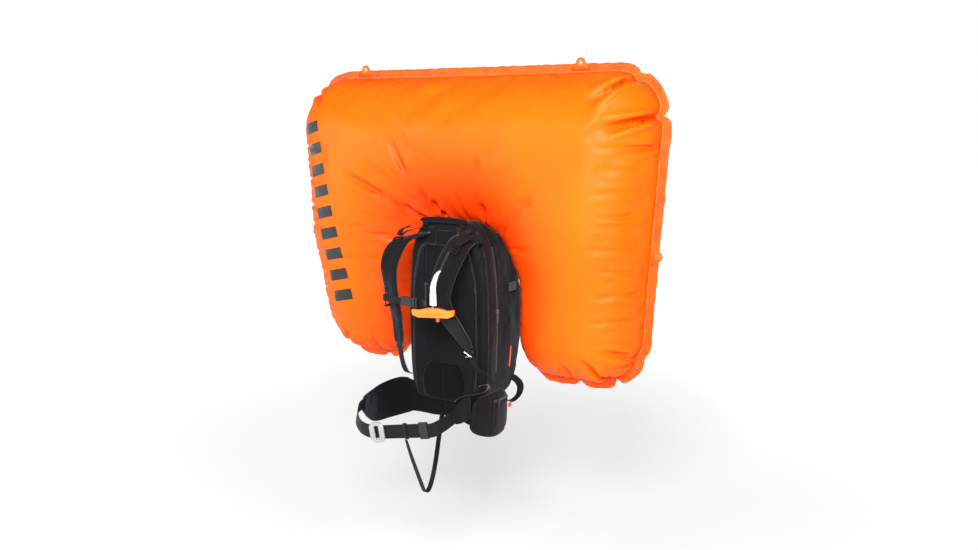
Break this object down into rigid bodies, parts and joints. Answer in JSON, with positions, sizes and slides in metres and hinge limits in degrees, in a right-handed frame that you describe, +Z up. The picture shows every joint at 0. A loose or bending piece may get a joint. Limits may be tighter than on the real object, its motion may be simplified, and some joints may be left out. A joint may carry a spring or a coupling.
{
  "type": "avalanche airbag backpack",
  "caption": "Snow safety backpack with its horseshoe airbag inflated behind and above the wearer, padded harness, hip belt and a T-handle trigger.",
  "frame": {"origin": "middle of the lumbar pad's face, where it bears on the wearer's lower back", "axes": "+Z up, -Y towards the wearer's back and the way the wearer faces, +X to the wearer's left"},
  "size_m": [1.2142, 0.5538, 1.1977],
  "materials": {
    "bag_fabric": "woven, matt",
    "padding": "smooth knit over foam, matt",
    "frame_plastic": "moulded",
    "airbag_skin": "coated ripstop, satin",
    "airbag_seam": "welded double layer, satin",
    "moulded_black": "moulded, fine grain",
    "webbing": "ribbed weave",
    "zip": "coil zip",
    "zip_metal": "cast, dull",
    "buckle_metal": "anodised, satin",
    "housing_plastic": "moulded",
    "cylinder_metal": "drawn, satin",
    "signal_orange": "moulded, satin",
    "sleeve_white": "flat woven sleeve"
  },
  "bodies": {
    "pack": {"airbag_eyelets": "moulded_black", "airbag_front_panel": "airbag_skin", "airbag_neck": "airbag_skin", "airbag_rear_panel": "airbag_skin", "airbag_seam_flange": "airbag_seam", "back_frame": "frame_plastic", "back_pad": "padding", "cartridge_strap": "webbing", "crotch_strap": "webbing", "deflation_valve": "moulded_black", "haul_loop_anchors": "webbing", "inflation_housing": "housing_plastic", "lifter_buckles": "moulded_black", "load_lifters": "webbing", "lower_webbings": "webbing", "lumbar_pad": "padding", "main_zips": "zip", "marker_stripe": "signal_orange", "pack_shell": "bag_fabric", "shoulder_strap_left": "padding", "shoulder_strap_right": "padding", "side_buckle_sockets": "moulded_black", "side_webbings": "webbing", "ski_loop_tab": "signal_orange", "ski_loops": "webbing", "sternum_rails": "moulded_black", "strap_adjusters": "moulded_black", "strap_hook_left": "zip_metal", "strap_zip": "zip", "tool_pocket": "bag_fabric", "trigger_cable": "housing_plastic", "trigger_sleeve": "sleeve_white"},
    "cartridge": {"cartridge": "cylinder_metal"},
    "release_lever": {"release_lever": "zip_metal"},
    "haul_loop": {"haul_loop": "webbing"},
    "sternum_right": {"sternum_clip_right": "moulded_black", "sternum_webbing_right": "webbing", "sternum_socket": "moulded_black"},
    "sternum_left": {"sternum_clip_left": "moulded_black", "sternum_webbing_left": "webbing"},
    "sternum_plug": {"sternum_plug": "moulded_black"},
    "trigger": {"trigger_handle": "signal_orange", "trigger_wire": "zip_metal", "trigger_lock_tab": "signal_orange"},
    "side_plug_left": {"side_buckle_plug_left": "moulded_black"},
    "side_plug_right": {"side_buckle_plug_right": "moulded_black"},
    "main_slider_left": {"main_slider_left": "zip_metal"},
    "main_slider_right": {"main_slider_right": "zip_metal"},
    "belt_right": {"belt_wing_right": "padding", "belt_webbing_right": "webbing", "buckle_plate": "buckle_metal"},
    "belt_left": {"belt_wing_left": "padding", "belt_webbing_left": "webbing", "buckle_ring": "buckle_metal", "crotch_loop": "webbing", "belt_pocket": "bag_fabric", "pocket_zip": "zip"},
    "belt_triglide": {"belt_triglide": "moulded_black"},
    "pocket_slider": {"pocket_slider": "zip_metal"}
  },
  "joints": [
    {"name": "trigger_pull", "type": "slide", "parent": "pack", "child": "trigger", "axis": [0, 0, -1], "range_m": [0, 0.04]},
    {"name": "release_lever_turn", "type": "hinge", "parent": "pack", "child": "release_lever", "pos_m": [0.053, 0.1, 0.372], "axis": [-1, 0, 0], "range_deg": [0, 35]},
    {"name": "sternum_right_height", "type": "slide", "parent": "pack", "child": "sternum_right", "axis": [0, 0, 1], "range_m": [-0.012, 0.012]},
    {"name": "sternum_left_height", "type": "slide", "parent": "pack", "child": "sternum_left", "axis": [0, 0, 1], "range_m": [-0.012, 0.012]},
    {"name": "sternum_plug_release", "type": "slide", "parent": "sternum_left", "child": "sternum_plug", "axis": [1, 0, 0], "range_m": [0, 0.016]},
    {"name": "haul_loop_fold", "type": "hinge", "parent": "pack", "child": "haul_loop", "pos_m": [0, 0.019, 0.461], "axis": [1, 0, 0], "range_deg": [0, 50]},
    {"name": "belt_left_swing", "type": "hinge", "parent": "pack", "child": "belt_left", "pos_m": [0.118, 0.017, -0.045], "axis": [0, 0, 1], "range_deg": [0, 35], "deforming": ["crotch_strap"]},
    {"name": "belt_right_swing", "type": "hinge", "parent": "pack", "child": "belt_right", "pos_m": [-0.118, 0.017, -0.052], "axis": [0, 0, -1], "range_deg": [0, 35]},
    {"name": "belt_triglide_slide", "type": "slide", "parent": "belt_left", "child": "belt_triglide", "axis": [-0.9811, -0.0175, -0.1927], "range_m": [0, 0.03]},
    {"name": "pocket_slider_slide", "type": "slide", "parent": "belt_left", "child": "pocket_slider", "axis": [0, 1, 0], "range_m": [0, 0.045]},
    {"name": "main_slider_left_slide", "type": "slide", "parent": "pack", "child": "main_slider_left", "axis": [0, 0, -1], "range_m": [0, 0.05]},
    {"name": "main_slider_right_slide", "type": "slide", "parent": "pack", "child": "main_slider_right", "axis": [0, 0, -1], "range_m": [0, 0.05]},
    {"name": "side_plug_left_release", "type": "slide", "parent": "pack", "child": "side_plug_left", "axis": [0, -1, 0], "range_m": [0, 0.02]},
    {"name": "side_plug_right_release", "type": "slide", "parent": "pack", "child": "side_plug_right", "axis": [0, -1, 0], "range_m": [0, 0.02]},
    {"name": "cartridge_turn", "type": "hinge", "parent": "pack", "child": "cartridge", "pos_m": [0, 0.112, 0.24], "axis": [0, 0, 1], "continuous": true}
  ],
  "couplings": [
    {"joint": "release_lever_turn", "follows": "trigger_pull", "rad_per_m": 15.272},
    {"joint": "sternum_right_height", "follows": "sternum_left_height", "ratio": 1},
    {"joint": "belt_right_swing", "follows": "belt_left_swing", "ratio": 1}
  ]
}
